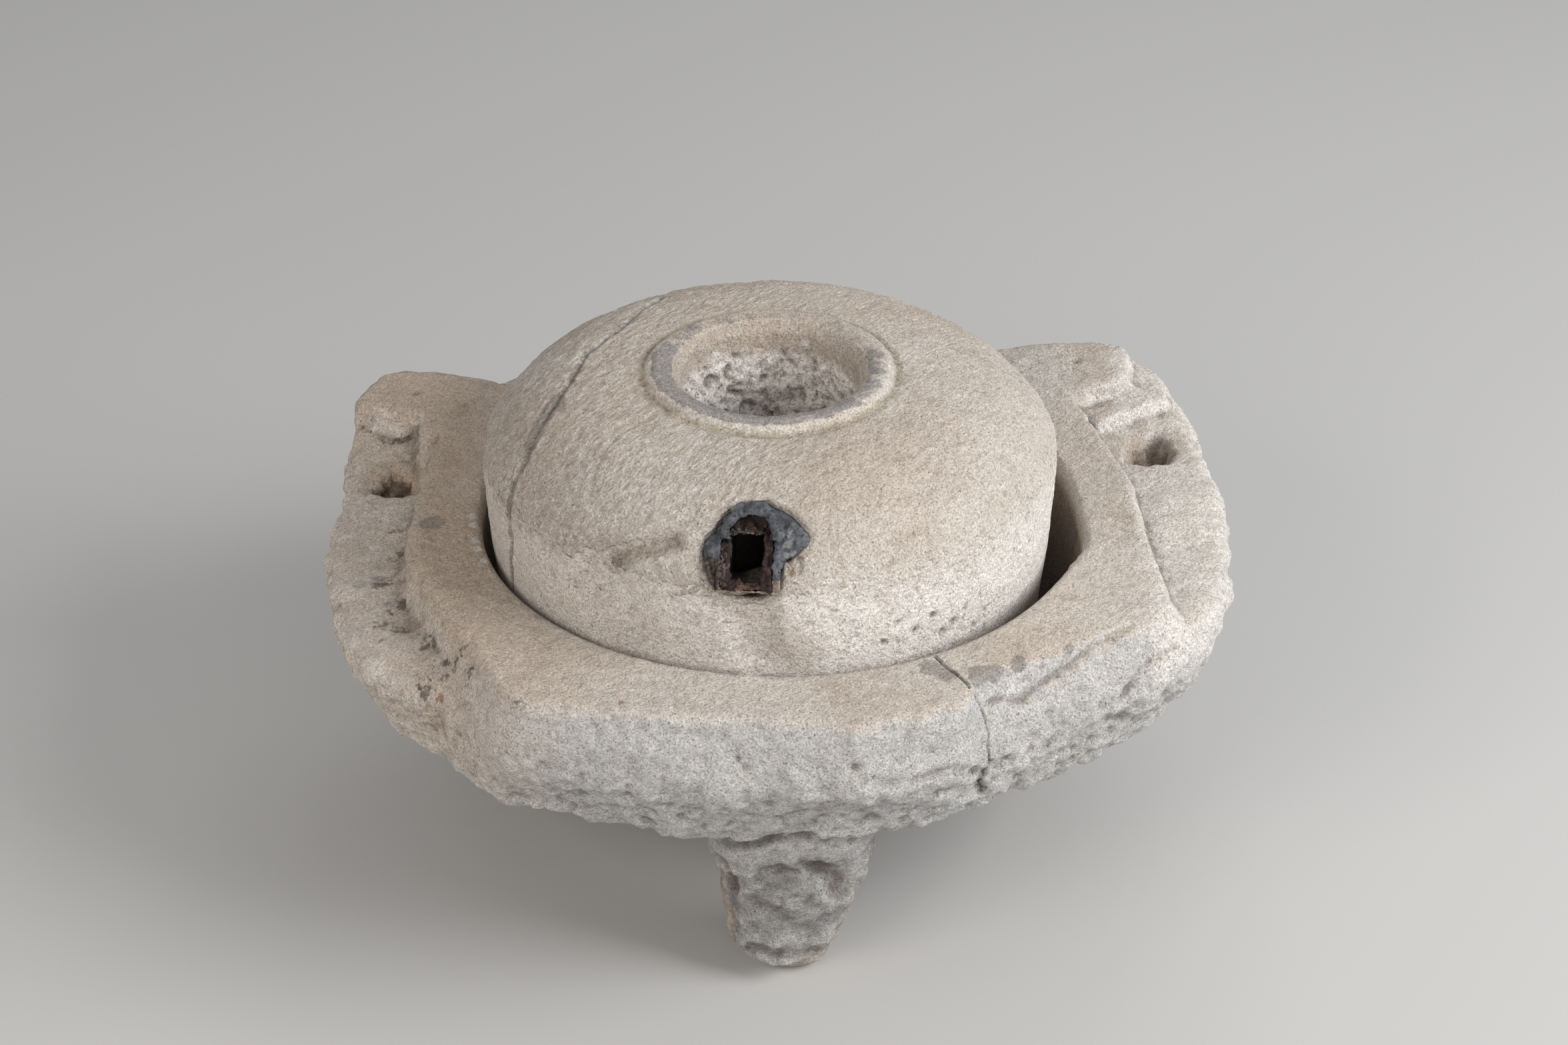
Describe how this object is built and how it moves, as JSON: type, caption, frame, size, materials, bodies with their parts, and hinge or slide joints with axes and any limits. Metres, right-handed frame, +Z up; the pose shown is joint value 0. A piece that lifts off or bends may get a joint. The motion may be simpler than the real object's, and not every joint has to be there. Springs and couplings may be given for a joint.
{
  "type": "rotary quern",
  "caption": "Hand-turned stone quern: a domed runner with a hopper collar and a lead-set iron handle socket turns in a footed basin with a flat rim and side lugs.",
  "frame": {"origin": "ground point under the middle of the whole outline", "axes": "+Z up along the runner's axis of turning, -Y towards the front with the handle socket, +X to the right seen from the front"},
  "size_m": [0.631, 0.5632, 0.368],
  "materials": {
    "basin_stone": "matte",
    "runner_stone": "matte",
    "lead": "matte",
    "rusted_iron": "matte"
  },
  "bodies": {
    "lower_stone": {"lower_stone": "basin_stone"},
    "upper_stone": {"upper_stone": "runner_stone", "lead_setting": "lead", "iron_socket": "rusted_iron"}
  },
  "joints": [
    {"name": "runner_turn", "type": "hinge", "parent": "lower_stone", "child": "upper_stone", "pos_m": [-0.0042, -0.00438, 0.1653], "axis": [0, 0, 1], "continuous": true}
  ]
}
